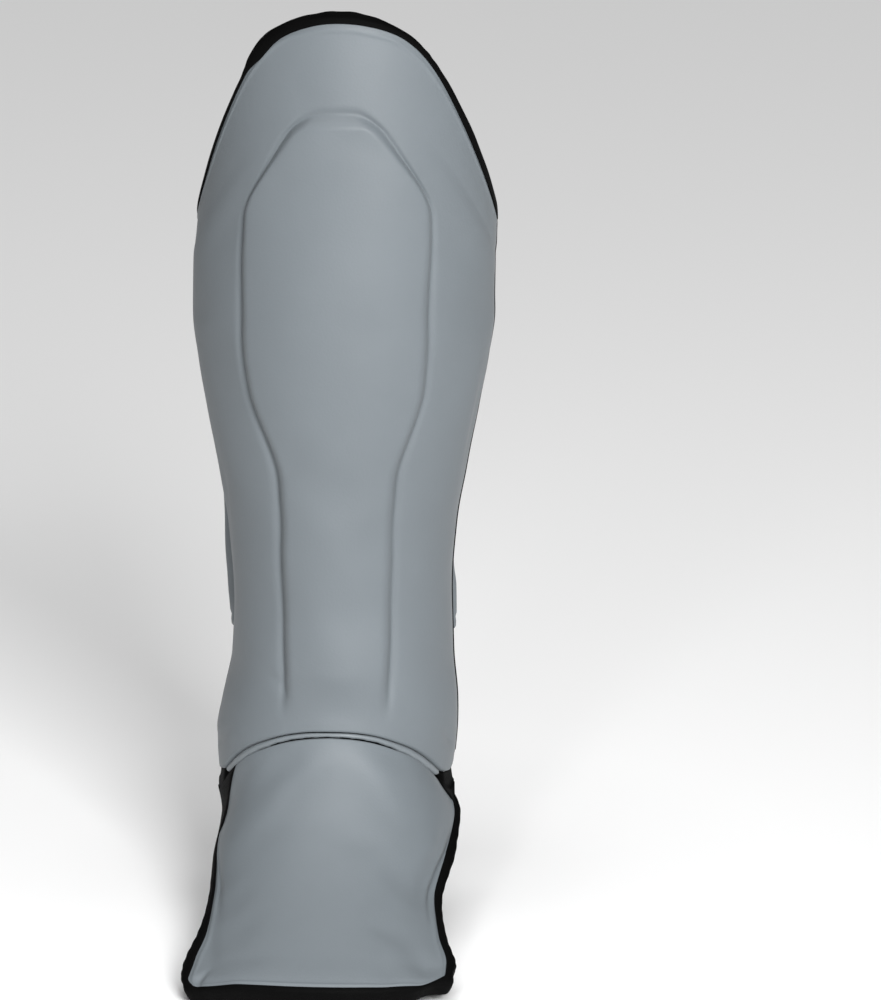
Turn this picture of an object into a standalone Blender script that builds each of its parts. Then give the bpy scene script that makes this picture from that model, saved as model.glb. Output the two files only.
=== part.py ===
"""Shin guard with an instep pad, in the form it has on a leg.

The leg's axis is Z, the front of the guard faces -Y, and the origin is on the leg's axis at the
height of the ankle bend. Everything is in metres. Each pad is a curved surface, given by short
tables of sections, with the wall laid inwards from it. The bindings, linings, gusset and straps
take their places from the same surfaces.
"""

import math
from collections import namedtuple

import bmesh
import bpy
from mathutils import Vector

# Shin pad
SHIN_HEIGHT = 0.3485
SHIN_HALF_WIDTH = 0.0742
SHIN_DEPTH = 0.072
SHIN_WRAP = math.radians(98)
SHIN_THICKNESS = 0.018
SHIN_EDGE_THICKNESS = 0.009
TOP_FALL = 0.108
ARCH_FALL = 0.034
SHIN_SWAY = 0.004
PANEL_RISE = 0.0035
PANEL_GROOVE = 0.0010

# Instep pad
INSTEP_WRAP = math.radians(80)
INSTEP_REACH = 0.133
INSTEP_FALL = 0.0815
INSTEP_HALF_WIDTH = 0.063
INSTEP_THICKNESS = 0.011
INSTEP_EDGE_THICKNESS = 0.008
INSTEP_TOE_THICKNESS = 0.0045
INSTEP_SWAY = 0.0035

# Cloth, edging and piping
LINING_THICKNESS = 0.002
LINING_MARGIN = 0.0015
SHIN_BINDING_WIDTH = 0.003
INSTEP_BINDING_WIDTH = 0.005
BINDING_LAP = 0.0006
ROLL_RADIUS = 0.0024
ROLL_CLEARANCE = 0.0008
ROLL_WRAP = math.radians(67)
GUSSET_THICKNESS = 0.002
GUSSET_LAP = 0.016
GUSSET_WRAP = math.radians(76)
GUSSET_SLACK = 0.001

# Straps
STRAP_THICKNESS = 0.0025
UPPER_STRAP_HEIGHT = 0.050
UPPER_STRAP_BASE = 0.185
UPPER_STRAP_BACK = 0.060
LOWER_STRAP_HEIGHT = 0.100
LOWER_STRAP_BASE = 0.033
LOWER_STRAP_BACK = 0.052
LOWER_STRAP_BULGE = 0.0038
UPPER_STRAP_BULGE = -0.003
FOOT_STRAP_WIDTH = 0.040
FOOT_STRAP_PLACE = 0.50
FOOT_STRAP_CLEARANCE = 0.0009
FOOT_STRAP_HELD = (0.70, 0.80, 0.90, 1.00)
FOOT_STRAP_TURN = 0.5
FOOT_STRAP_DROP = 0.010
FOOT_STRAP_CORNER = 0.008
FOOT_STRAP_CORNER_SHARE = 0.93
FOOT_STRAP_SOLE_SHARE = 0.62

# Clearances between pieces that touch
GAP = 0.0003
LINING_CLEARANCE = 0.0009
BINDING_CLEARANCE = 0.0009

# How a binding's face is rounded: where its shoulder stands, as shares of its width and depth
BINDING_SHOULDER = 0.60
BINDING_ROUNDING = 0.22

# Mesh fineness
SHARP_ANGLE = math.radians(50)
FACING_STEP = 0.01
ARCH_STEP = math.radians(1)
SHIN_COLUMNS = 28
PANEL_COLUMN_SHARE = 12 / SHIN_COLUMNS
SHIN_ROWS = 30
INSTEP_COLUMNS = 20
INSTEP_ROWS = 18
SHIN_LINING_COLUMNS = 22
SHIN_LINING_ROWS = 20
INSTEP_LINING_COLUMNS = 18
INSTEP_LINING_ROWS = 12
GUSSET_ROWS = 5
CALF_STRAP_COLUMNS = 20
CALF_STRAP_ROWS = 3
FOOT_STRAP_COLUMNS = 36
FOOT_STRAP_ROWS = 2
ROLL_POINTS = 23
ROLL_RESOLUTION = 2

# Height, half width, depth and sway are shares of SHIN_HEIGHT, SHIN_HALF_WIDTH, SHIN_DEPTH and
# SHIN_SWAY. Sway is how far a section leans to the side, because a worn guard is not even.
ShinSection = namedtuple("ShinSection", "height half_width depth sway")
SHIN_SECTIONS = [
    ShinSection(-0.10, 0.785, 0.90, -0.85),
    ShinSection(-0.04, 0.802, 0.89, -0.75),
    ShinSection(0.00, 0.785, 0.87, -0.45),
    ShinSection(0.07, 0.740, 0.84, -0.10),
    ShinSection(0.15, 0.730, 0.835, 0.00),
    ShinSection(0.25, 0.758, 0.86, 0.00),
    ShinSection(0.33, 0.815, 0.89, 0.10),
    ShinSection(0.43, 0.900, 0.94, 0.20),
    ShinSection(0.50, 0.955, 0.97, 0.25),
    ShinSection(0.57, 0.990, 0.99, 0.30),
    ShinSection(0.65, 0.990, 1.00, 0.50),
    ShinSection(0.78, 0.965, 1.00, 1.10),
    ShinSection(0.90, 0.960, 0.98, 1.20),
    ShinSection(1.00, 0.950, 0.95, 1.00),
]

# Angle is a share of SHIN_WRAP, top and arch are shares of TOP_FALL and ARCH_FALL
ShinEdge = namedtuple("ShinEdge", "angle top arch")
SHIN_EDGES = [
    ShinEdge(0.00, 0.00, 0.00),
    ShinEdge(0.18, 0.035, 0.05),
    ShinEdge(0.31, 0.11, 0.18),
    ShinEdge(0.39, 0.215, 0.29),
    ShinEdge(0.49, 0.38, 0.43),
    ShinEdge(0.59, 0.55, 0.66),
    ShinEdge(0.67, 0.67, 0.84),
    ShinEdge(0.76, 0.80, 1.00),
    ShinEdge(0.87, 0.92, 0.96),
    ShinEdge(1.00, 1.00, 0.80),
]

# Outline of the raised panel: station is a share of the pad's rows, edge a share of SHIN_WRAP
PanelEdge = namedtuple("PanelEdge", "station edge")
PANEL_EDGES = [
    PanelEdge(0.00, 0.250),
    PanelEdge(0.06, 0.285),
    PanelEdge(0.15, 0.305),
    PanelEdge(0.24, 0.306),
    PanelEdge(0.30, 0.292),
    PanelEdge(0.36, 0.290),
    PanelEdge(0.40, 0.319),
    PanelEdge(0.44, 0.361),
    PanelEdge(0.48, 0.390),
    PanelEdge(0.53, 0.395),
    PanelEdge(0.61, 0.392),
    PanelEdge(0.71, 0.398),
    PanelEdge(0.778, 0.393),
    PanelEdge(0.80, 0.321),
    PanelEdge(0.822, 0.250),
    PanelEdge(0.853, 0.173),
    PanelEdge(0.875, 0.126),
    PanelEdge(0.90, 0.140),
    PanelEdge(1.00, 0.400),
]
PANEL_TOP = 0.875
PANEL_TOP_BLEND = 0.030
PANEL_FOOT = 0.020
PANEL_FOOT_BLEND = 0.050
THICK_SHARE = 0.3
ARCH_ROWS_SHARE = 0.25
TOP_ROWS_SHARE = 0.50

# Forward and fall are shares of INSTEP_REACH and INSTEP_FALL for the middle and for the side
# edge, half_width of INSTEP_HALF_WIDTH and sway of INSTEP_SWAY. Bend is the half angle of the
# section's arc, and toe says how far the wall has thinned to INSTEP_TOE_THICKNESS.
InstepSection = namedtuple(
    "InstepSection", "station forward fall side_forward side_fall half_width sway bend toe"
)
INSTEP_SECTIONS = [
    InstepSection(0.00, 0.00, 0.00, 0.00, 0.00, 0.905, -0.6, 88, 0.0),
    InstepSection(0.15, 0.085, 0.205, 0.12, 0.19, 0.910, 0.2, 84, 0.0),
    InstepSection(0.30, 0.205, 0.410, 0.29, 0.37, 0.915, 0.0, 78, 0.0),
    InstepSection(0.50, 0.420, 0.640, 0.53, 0.62, 0.865, -0.5, 68, 0.1),
    InstepSection(0.70, 0.660, 0.810, 0.75, 0.81, 0.900, -0.1, 58, 0.4),
    InstepSection(0.85, 0.835, 0.915, 0.885, 0.935, 0.955, 0.1, 50, 0.7),
    InstepSection(0.95, 0.945, 0.975, 0.965, 0.985, 0.960, 0.0, 46, 0.95),
    InstepSection(1.00, 1.000, 1.000, 1.000, 1.000, 0.905, -0.1, 45, 1.0),
]
INSTEP_SIDE_REACH = 1.244
INSTEP_SIDE_FALL = 0.567
INSTEP_TOP_BLEND = 0.35
INSTEP_LINING_START = 0.14
INSTEP_LINING_END = 0.993

# Shares of the gusset's rows where it leaves the shin pad and where it meets the instep pad, and
# the share of the instep pad that it reaches down
GUSSET_LEAVES = 0.4
GUSSET_MEETS = 0.6
GUSSET_END = 0.12

# Angle is a share of ROLL_WRAP and radius a share of ROLL_RADIUS
RollSection = namedtuple("RollSection", "angle radius")
ROLL_SECTIONS = [
    RollSection(0.00, 0.55),
    RollSection(0.50, 0.75),
    RollSection(0.85, 1.00),
    RollSection(1.00, 0.60),
]

# Room left for the piping between the two pads: angle is a share of INSTEP_WRAP, and room is a
# share of the piping's full diameter
RoomSection = namedtuple("RoomSection", "angle room")
ROOM_SECTIONS = [
    RoomSection(0.00, 0.65),
    RoomSection(0.45, 0.95),
    RoomSection(0.75, 1.50),
    RoomSection(0.92, 1.80),
    RoomSection(1.00, 2.00),
]

# A calf strap's way round the back of the leg: width is a share of the pad's half width, reach a
# share of the way from the pad's edge to the back, and the last two say how far the strap's
# thickness carries each of them inwards
StrapKey = namedtuple("StrapKey", "width reach width_inset reach_inset")
STRAP_KEYS = [
    StrapKey(1.00, 0.00, 1.0, 0.0),
    StrapKey(1.00, 0.16, 1.0, 0.0),
    StrapKey(0.94, 0.45, 1.0, 0.0),
    StrapKey(0.62, 0.84, 0.8, 0.6),
]

Look = namedtuple("Look", "colour roughness")
LOOKS = {
    "grey_leather": Look((0.215, 0.243, 0.265), 0.55),
    "pale_piping": Look((0.29, 0.32, 0.34), 0.50),
    "black_edging": Look((0.012, 0.012, 0.013), 0.70),
    "black_elastic": Look((0.012, 0.012, 0.013), 0.85),
}

COLLECTION = "shin_guard"


def clear_scene():
    for item in list(bpy.data.objects):
        bpy.data.objects.remove(item, do_unlink=True)


def material(name):
    made = bpy.data.materials.new(name)
    made.use_nodes = True
    shader = made.node_tree.nodes["Principled BSDF"]
    shader.inputs["Base Color"].default_value = (*LOOKS[name].colour, 1.0)
    shader.inputs["Roughness"].default_value = LOOKS[name].roughness
    shader.inputs["Metallic"].default_value = 0.0
    return made


def read(table, column, at):
    """A column of a table at a station: a smooth curve through the rows that never overshoots."""
    stations = [row[0] for row in table]
    values = [getattr(row, column) for row in table]
    if at <= stations[0]:
        return values[0]
    if at >= stations[-1]:
        return values[-1]
    last = len(table) - 1
    steps = [stations[i + 1] - stations[i] for i in range(last)]
    rises = [(values[i + 1] - values[i]) / steps[i] for i in range(last)]

    def slope(i):
        if i == 0:
            return rises[0]
        if i == last:
            return rises[-1]
        before, after = rises[i - 1], rises[i]
        if before * after <= 0:
            return 0.0
        return 2 * before * after / (before + after)

    i = max(k for k in range(last) if stations[k] <= at)
    step = steps[i]
    t = (at - stations[i]) / step
    start, end = slope(i) * step, slope(i + 1) * step
    return (
        values[i] * (2 * t**3 - 3 * t**2 + 1)
        + start * (t**3 - 2 * t**2 + t)
        + values[i + 1] * (3 * t**2 - 2 * t**3)
        + end * (t**3 - t**2)
    )


def ease(value):
    """0 below 0, 1 above 1, and smooth between."""
    value = min(1.0, max(0.0, value))
    return value * value * (3 - 2 * value)


def shin_at(angle, height):
    """The shin pad's outer face at an angle round the leg from the front, before the panel."""
    share = height / SHIN_HEIGHT
    half_width = SHIN_HALF_WIDTH * read(SHIN_SECTIONS, "half_width", share)
    depth = SHIN_DEPTH * read(SHIN_SECTIONS, "depth", share)
    sway = SHIN_SWAY * read(SHIN_SECTIONS, "sway", share)
    return Vector((sway + half_width * math.sin(angle), -depth * math.cos(angle), height))


def arch_height(angle):
    return -ARCH_FALL * read(SHIN_EDGES, "arch", abs(angle) / SHIN_WRAP)


def edge_height(angle, v):
    """Height of a station between the arch below and the curved top edge above."""
    fall = TOP_FALL * read(SHIN_EDGES, "top", abs(angle) / SHIN_WRAP)
    top_weight = max(0.0, (v - TOP_ROWS_SHARE) / (1 - TOP_ROWS_SHARE))
    arch_weight = max(0.0, 1 - v / ARCH_ROWS_SHARE)
    return v * SHIN_HEIGHT - top_weight * fall + arch_weight * arch_height(angle)


def plain_station(u, v):
    """Angle and height of a grid place, with columns spread evenly round the leg."""
    return u * SHIN_WRAP, edge_height(u * SHIN_WRAP, v)


def panel_station(u, v):
    """Angle and height of a grid place, with one column on the raised panel's outline."""
    panel = SHIN_WRAP * read(PANEL_EDGES, "edge", v)
    across = abs(u)
    if across <= PANEL_COLUMN_SHARE:
        angle = panel * across / PANEL_COLUMN_SHARE
    else:
        beyond = (across - PANEL_COLUMN_SHARE) / (1 - PANEL_COLUMN_SHARE)
        angle = panel + (SHIN_WRAP - panel) * beyond
    return math.copysign(angle, u), edge_height(angle, v)


def shin_border(u, v):
    return shin_at(*plain_station(u, v))


def facing(surface, u, v):
    """The outward direction of a surface at a grid point, from its neighbours."""
    u0, u1 = max(-1.0, u - FACING_STEP), min(1.0, u + FACING_STEP)
    v0, v1 = max(0.0, v - FACING_STEP), min(1.0, v + FACING_STEP)
    across = surface(u1, v) - surface(u0, v)
    along = surface(u, v1) - surface(u, v0)
    return along.cross(across).normalized()


def shin_inset_at(angle, height, inset):
    """A point a given way inside the shin pad's outer face, before the panel."""
    share = height / SHIN_HEIGHT
    half_width = SHIN_HALF_WIDTH * read(SHIN_SECTIONS, "half_width", share)
    depth = SHIN_DEPTH * read(SHIN_SECTIONS, "depth", share)
    normal = Vector((math.sin(angle) / half_width, -math.cos(angle) / depth, 0)).normalized()
    return shin_at(angle, height) - inset * normal


def shin_wall(angle):
    """The shin pad's thickness, thick in front and thin at its side edges."""
    thinning = ease((abs(angle) / SHIN_WRAP - THICK_SHARE) / (1 - THICK_SHARE))
    return SHIN_THICKNESS + (SHIN_EDGE_THICKNESS - SHIN_THICKNESS) * thinning


def shin_behind(angle, height, inset):
    """A point a given way behind the shin pad's inner face."""
    return shin_inset_at(angle, height, shin_wall(angle) + inset)


def panel_height(u, v):
    """How far the raised panel stands out, with a shallow groove round it."""
    column = 2 / SHIN_COLUMNS
    across = (PANEL_COLUMN_SHARE - abs(u)) / column
    ends = ease((PANEL_TOP - v) / PANEL_TOP_BLEND) * ease((v - PANEL_FOOT) / PANEL_FOOT_BLEND)
    rise = PANEL_RISE * ease(across)
    groove = PANEL_GROOVE * max(0.0, 1 - abs(across))
    return ends * (rise - groove)


def shin_outer(u, v):
    return shin_inset_at(*panel_station(u, v), -panel_height(u, v))


def shin_inner(u, v):
    return shin_behind(*panel_station(u, v), 0.0)


def shin_lining_outer(u, v):
    return shin_behind(*plain_station(u, v), LINING_CLEARANCE)


def shin_lining_inner(u, v):
    return shin_behind(*plain_station(u, v), LINING_CLEARANCE + LINING_THICKNESS)


def arch_frame(angle):
    """The lower edge of the shin pad: its point, the way inwards and the way off the edge."""
    before, here, after = (
        shin_at(at, arch_height(at)) for at in (angle - ARCH_STEP, angle, angle + ARCH_STEP)
    )
    outward = Vector((math.sin(angle) / SHIN_HALF_WIDTH, -math.cos(angle) / SHIN_DEPTH, 0))
    outward.normalize()
    off = (after - before).cross(outward).normalized()
    return here, -outward, off if off.z < 0 else -off


def roll_radius(angle):
    return ROLL_RADIUS * read(ROLL_SECTIONS, "radius", abs(angle) / ROLL_WRAP)


def instep_top(angle):
    """The instep pad's upper edge, below the shin pad's arch by the room for the piping."""
    room = 2 * ROLL_RADIUS * read(ROOM_SECTIONS, "room", abs(angle) / INSTEP_WRAP)
    return shin_at(angle, arch_height(angle)) - Vector((0, 0, room + 2 * GAP))


def instep_section(u, v):
    """The instep pad's outer face before it is fitted to the arch, u across and v to the toe."""
    middle = instep_top(0.0)
    side = instep_top(INSTEP_WRAP)
    forward = INSTEP_REACH * read(INSTEP_SECTIONS, "forward", v)
    fall = INSTEP_FALL * read(INSTEP_SECTIONS, "fall", v)
    side_forward = INSTEP_REACH * INSTEP_SIDE_REACH * read(INSTEP_SECTIONS, "side_forward", v)
    side_fall = INSTEP_FALL * INSTEP_SIDE_FALL * read(INSTEP_SECTIONS, "side_fall", v)
    half_width = INSTEP_HALF_WIDTH * read(INSTEP_SECTIONS, "half_width", v)
    sway = INSTEP_SWAY * read(INSTEP_SECTIONS, "sway", v)
    bend = math.radians(read(INSTEP_SECTIONS, "bend", v))
    turn = (1 - math.cos(bend * u)) / (1 - math.cos(bend))
    ahead = (middle.y - forward) * (1 - turn) + (side.y - side_forward) * turn
    height = (middle.z - fall) * (1 - turn) + (side.z - side_fall) * turn
    return Vector((sway + half_width * math.sin(bend * u) / math.sin(bend), ahead, height))


def instep_base(u, v):
    weight = max(0.0, 1 - v / INSTEP_TOP_BLEND) ** 2
    fitted = instep_section(u, v)
    if weight > 0:
        fitted += weight * (instep_top(u * INSTEP_WRAP) - instep_section(u, 0.0))
    return fitted


def instep_behind(u, v, inset):
    """A point a given way behind the instep pad's inner face."""
    thinning = ease((abs(u) - THICK_SHARE) / (1 - THICK_SHARE))
    thickness = INSTEP_THICKNESS + (INSTEP_EDGE_THICKNESS - INSTEP_THICKNESS) * thinning
    thickness += (INSTEP_TOE_THICKNESS - thickness) * read(INSTEP_SECTIONS, "toe", v)
    return instep_base(u, v) - (thickness + inset) * facing(instep_base, u, v)


def instep_inner(u, v):
    return instep_behind(u, v, 0.0)


def instep_lining_outer(u, v):
    return instep_behind(u, v, LINING_CLEARANCE)


def instep_lining_inner(u, v):
    return instep_behind(u, v, LINING_CLEARANCE + LINING_THICKNESS)


def place(name, bm, look):
    """Turn a bmesh into a named object in the guard's collection."""
    bmesh.ops.recalc_face_normals(bm, faces=bm.faces[:])
    if bm.calc_volume(signed=True) < 0:
        bmesh.ops.reverse_faces(bm, faces=bm.faces[:])
    mesh = bpy.data.meshes.new(name)
    bm.to_mesh(mesh)
    bm.free()
    mesh.shade_smooth()
    mesh.set_sharp_from_angle(angle=SHARP_ANGLE)
    made = bpy.data.objects.new(name, mesh)
    made.data.materials.append(look)
    bpy.data.collections[COLLECTION].objects.link(made)
    return made


def wall(name, look, columns, rows, outer, inner, low=0.0, high=1.0):
    """A closed wall: a grid laid on the outer face and extruded to the inner face."""
    bm = bmesh.new()
    bmesh.ops.create_grid(bm, x_segments=columns, y_segments=rows, size=1.0)
    extruded = bmesh.ops.extrude_face_region(bm, geom=bm.faces[:], use_keep_orig=True)
    inside = {item for item in extruded["geom"] if isinstance(item, bmesh.types.BMVert)}
    for vert in bm.verts:
        u = vert.co.x
        v = low + (high - low) * (vert.co.y + 1) / 2
        vert.co = inner(u, v) if vert in inside else outer(u, v)
    return place(name, bm, look)


def loft(name, look, rings):
    """A closed body through rings of the same number of points, with flat ends."""
    bm = bmesh.new()
    rows = [[bm.verts.new(point) for point in ring] for ring in rings]
    count = len(rows[0])
    for before, after in zip(rows, rows[1:]):
        for i in range(count):
            j = (i + 1) % count
            bm.faces.new((before[i], before[j], after[j], after[i]))
    bm.faces.new(rows[0])
    bm.faces.new(rows[-1])
    return place(name, bm, look)


def binding(name, look, outer, inner, path, width):
    """Edging with a rounded face that runs along a path on the border of a pad and its lining."""
    tops = [outer(u, v) for u, v in path]
    rings = []
    for i, (u, v) in enumerate(path):
        top, bottom = tops[i], inner(u, v)
        along = tops[min(i + 1, len(tops) - 1)] - tops[max(i - 1, 0)]
        across = (top - bottom).normalized()
        off = along.cross(across).normalized()
        if off.dot(top - outer(0.9 * u, 0.5 + 0.9 * (v - 0.5))) < 0:
            off = -off
        top, bottom = top + BINDING_LAP * across, bottom - BINDING_LAP * across
        near = BINDING_CLEARANCE
        shoulder, far = near + BINDING_SHOULDER * width, near + width
        upper, lower = top.lerp(bottom, BINDING_ROUNDING), bottom.lerp(top, BINDING_ROUNDING)
        rings.append([
            top + near * off, top + shoulder * off, upper + far * off,
            lower + far * off, bottom + shoulder * off, bottom + near * off,
        ])
    return loft(name, look, rings)


def border(rows, columns):
    """Grid places along one side, across the last row and back along the other side."""
    side = [i / rows for i in range(rows)]
    left = [(-1.0, station) for station in side]
    across = [(-1 + 2 * i / columns, 1.0) for i in range(columns + 1)]
    right = [(1.0, station) for station in reversed(side)]
    return left + across + right


def make_shin(grey, black):
    wall("shin_pad", grey, SHIN_COLUMNS, SHIN_ROWS, shin_outer, shin_inner)
    wall("shin_lining", black, SHIN_LINING_COLUMNS, SHIN_LINING_ROWS,
         shin_lining_outer, shin_lining_inner,
         (GUSSET_LAP + GAP) / SHIN_HEIGHT, 1 - LINING_MARGIN / SHIN_HEIGHT)
    path = [(panel_station(u, v)[0] / SHIN_WRAP, v) for u, v in border(SHIN_ROWS, SHIN_COLUMNS)]
    binding("shin_binding", black, shin_border, shin_lining_inner, path, SHIN_BINDING_WIDTH)


def make_ankle(pale, black):
    curve = bpy.data.curves.new("ankle_roll", "CURVE")
    curve.dimensions = "3D"
    curve.bevel_depth = ROLL_RADIUS
    curve.bevel_resolution = ROLL_RESOLUTION
    curve.use_fill_caps = True
    spline = curve.splines.new("POLY")
    spline.points.add(ROLL_POINTS - 1)
    for i, point in enumerate(spline.points):
        angle = ROLL_WRAP * (2 * i / (ROLL_POINTS - 1) - 1)
        radius = roll_radius(angle)
        here, inward, off = arch_frame(angle)
        centre = here + off * (radius + ROLL_CLEARANCE) + inward * radius
        point.co = (*centre, 1.0)
        point.radius = radius / ROLL_RADIUS
    roll = bpy.data.objects.new("ankle_roll", curve)
    curve.materials.append(pale)
    bpy.data.collections[COLLECTION].objects.link(roll)

    def gusset(inset):
        def surface(u, v):
            angle = u * GUSSET_WRAP
            if v < (GUSSET_LEAVES + GUSSET_MEETS) / 2:
                lap = 1 - v / GUSSET_LEAVES
                height = arch_height(angle) + GUSSET_LAP * lap
                return shin_behind(angle, height, inset + GUSSET_SLACK * (1 - lap))
            lap = (v - GUSSET_MEETS) / (1 - GUSSET_MEETS)
            slack = GUSSET_SLACK * (1 - lap)
            return instep_behind(angle / INSTEP_WRAP, GUSSET_END * lap, inset + slack)
        return surface

    wall("ankle_gusset", black, INSTEP_LINING_COLUMNS, GUSSET_ROWS,
         gusset(LINING_CLEARANCE), gusset(LINING_CLEARANCE + GUSSET_THICKNESS))


def make_instep(grey, black):
    wall("instep_pad", grey, INSTEP_COLUMNS, INSTEP_ROWS, instep_base, instep_inner)
    wall("instep_lining", black, INSTEP_LINING_COLUMNS, INSTEP_LINING_ROWS,
         instep_lining_outer, instep_lining_inner, INSTEP_LINING_START, INSTEP_LINING_END)
    path = border(INSTEP_ROWS, INSTEP_COLUMNS)
    binding("instep_binding", black, instep_base, instep_lining_inner, path, INSTEP_BINDING_WIDTH)


def through(keys, share):
    """A point on the smooth curve through a few key points."""
    place_on = share * (len(keys) - 1)
    i = min(int(place_on), len(keys) - 2)
    t = place_on - i
    before = keys[i - 1] if i > 0 else 2 * keys[0] - keys[1]
    after = keys[i + 2] if i + 2 < len(keys) else 2 * keys[-1] - keys[-2]
    start, end = keys[i], keys[i + 1]
    return 0.5 * (
        2 * start
        + (end - before) * t
        + (2 * before - 5 * start + 4 * end - after) * t**2
        + (3 * start - before - 3 * end + after) * t**3
    )


def calf_strap(name, look, base, height, back, bulge):
    """A band from one side edge of the shin pad round the back of the leg to the other."""
    def half(side, level, inset):
        edge = shin_at(side * SHIN_WRAP, level)
        start = edge.y + BINDING_CLEARANCE + SHIN_BINDING_WIDTH + GAP
        points = []
        for key in STRAP_KEYS:
            stand = bulge if key.reach > 0 else min(bulge, 0.0)
            width = key.width * side * edge.x + stand - key.width_inset * inset
            reach = start + key.reach * (back - start) - key.reach_inset * inset
            points.append(Vector((side * width, reach, level)))
        return points

    def path(level, inset):
        middle = Vector((0, back - inset, level))
        return half(-1, level, inset) + [middle] + half(1, level, inset)[::-1]

    def face(inset):
        def surface(u, v):
            return through(path(base + v * height, inset), (u + 1) / 2)
        return surface

    wall(name, look, CALF_STRAP_COLUMNS, CALF_STRAP_ROWS, face(0.0), face(STRAP_THICKNESS))


def foot_strap(look):
    """A band under the foot, sewn inside the instep pad's two side edges."""
    half_share = FOOT_STRAP_WIDTH / 2 / INSTEP_REACH
    lowest = min(instep_inner(u, 1.0).z for u in (0.0, 1.0)) - LINING_THICKNESS

    def half(side, station, inset):
        depth = LINING_CLEARANCE + LINING_THICKNESS + BINDING_LAP + FOOT_STRAP_CLEARANCE + inset
        held = [instep_behind(side * u, station, depth) for u in FOOT_STRAP_HELD]
        onward = (held[-1] - held[-2]).normalized() - Vector((FOOT_STRAP_TURN * side, 0, 0))
        below = held[-1] + onward.normalized() * FOOT_STRAP_DROP
        corner_height = lowest + FOOT_STRAP_CORNER + (1 - FOOT_STRAP_CORNER_SHARE) * inset
        corner = Vector((below.x * FOOT_STRAP_CORNER_SHARE, below.y, corner_height))
        sole = Vector((below.x * FOOT_STRAP_SOLE_SHARE, below.y, lowest + inset))
        return [*held, below, corner, sole]

    def path(station, inset):
        left, right = half(-1, station, inset), half(1, station, inset)
        middle = Vector((0, (left[-1].y + right[-1].y) / 2, lowest + inset))
        return left + [middle] + right[::-1]

    def face(inset):
        def surface(u, v):
            station = FOOT_STRAP_PLACE + half_share * (2 * v - 1)
            return through(path(station, inset), (u + 1) / 2)
        return surface

    wall("foot_strap", look, FOOT_STRAP_COLUMNS, FOOT_STRAP_ROWS, face(0.0), face(STRAP_THICKNESS))


def build():
    clear_scene()
    bpy.context.scene.collection.children.link(bpy.data.collections.new(COLLECTION))
    grey = material("grey_leather")
    black = material("black_edging")
    make_shin(grey, black)
    make_ankle(material("pale_piping"), black)
    make_instep(grey, black)
    calf_strap("calf_strap_upper", grey, UPPER_STRAP_BASE, UPPER_STRAP_HEIGHT, UPPER_STRAP_BACK,
               UPPER_STRAP_BULGE)
    calf_strap("calf_strap_lower", grey, LOWER_STRAP_BASE, LOWER_STRAP_HEIGHT, LOWER_STRAP_BACK,
               LOWER_STRAP_BULGE)
    foot_strap(material("black_elastic"))


build()
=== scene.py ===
import math

import bmesh
import bpy
import numpy as np
from mathutils import Matrix, Vector


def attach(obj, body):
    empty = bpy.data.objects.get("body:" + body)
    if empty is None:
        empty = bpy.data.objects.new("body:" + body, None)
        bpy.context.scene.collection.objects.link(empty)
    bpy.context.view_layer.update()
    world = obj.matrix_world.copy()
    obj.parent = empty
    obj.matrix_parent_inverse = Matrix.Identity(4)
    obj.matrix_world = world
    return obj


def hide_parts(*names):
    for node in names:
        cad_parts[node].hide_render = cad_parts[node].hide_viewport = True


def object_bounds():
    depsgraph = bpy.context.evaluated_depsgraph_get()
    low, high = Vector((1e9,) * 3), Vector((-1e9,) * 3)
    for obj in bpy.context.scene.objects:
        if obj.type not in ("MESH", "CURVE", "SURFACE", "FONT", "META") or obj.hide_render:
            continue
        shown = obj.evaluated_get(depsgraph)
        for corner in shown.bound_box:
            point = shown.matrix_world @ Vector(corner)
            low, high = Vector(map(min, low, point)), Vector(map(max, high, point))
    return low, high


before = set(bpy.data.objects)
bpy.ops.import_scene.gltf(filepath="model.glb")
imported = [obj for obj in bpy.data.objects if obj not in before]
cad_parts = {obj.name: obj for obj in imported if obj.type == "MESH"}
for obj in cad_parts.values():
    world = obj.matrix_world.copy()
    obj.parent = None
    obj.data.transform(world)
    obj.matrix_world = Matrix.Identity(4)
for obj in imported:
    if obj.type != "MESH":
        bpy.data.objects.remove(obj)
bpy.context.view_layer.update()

viewSet = {
    "azimuth": 3.0, "elevation": 13.0, "distance": 2.5,
    "lens": 180.0, "sensor": 36.0, "far": 50,
    "aimRight": 0.04875, "aimUp": 0.0985,   # the guard stands left of the middle, as in the photo
}


def makeCamera():
    az, el = math.radians(viewSet["azimuth"]), math.radians(viewSet["elevation"])
    right = Vector((math.cos(az), math.sin(az), 0))
    back = Vector((math.sin(az) * math.cos(el), -math.cos(az) * math.cos(el), math.sin(el)))
    up = back.cross(right)
    data = bpy.data.cameras.new("camera")
    data.lens = viewSet["lens"]
    data.sensor_width = data.sensor_height = viewSet["sensor"]
    data.clip_end = viewSet["far"]
    camera = bpy.data.objects.new("camera", data)
    spot = right * viewSet["aimRight"] + up * viewSet["aimUp"] + back * viewSet["distance"]
    turn = Matrix((right, up, back)).transposed().to_4x4()
    camera.matrix_world = Matrix.Translation(spot) @ turn
    bpy.context.collection.objects.link(camera)
    bpy.context.scene.camera = camera


makeCamera()


# small helpers for surfaces that are grids of points, rows by columns by xyz

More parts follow.
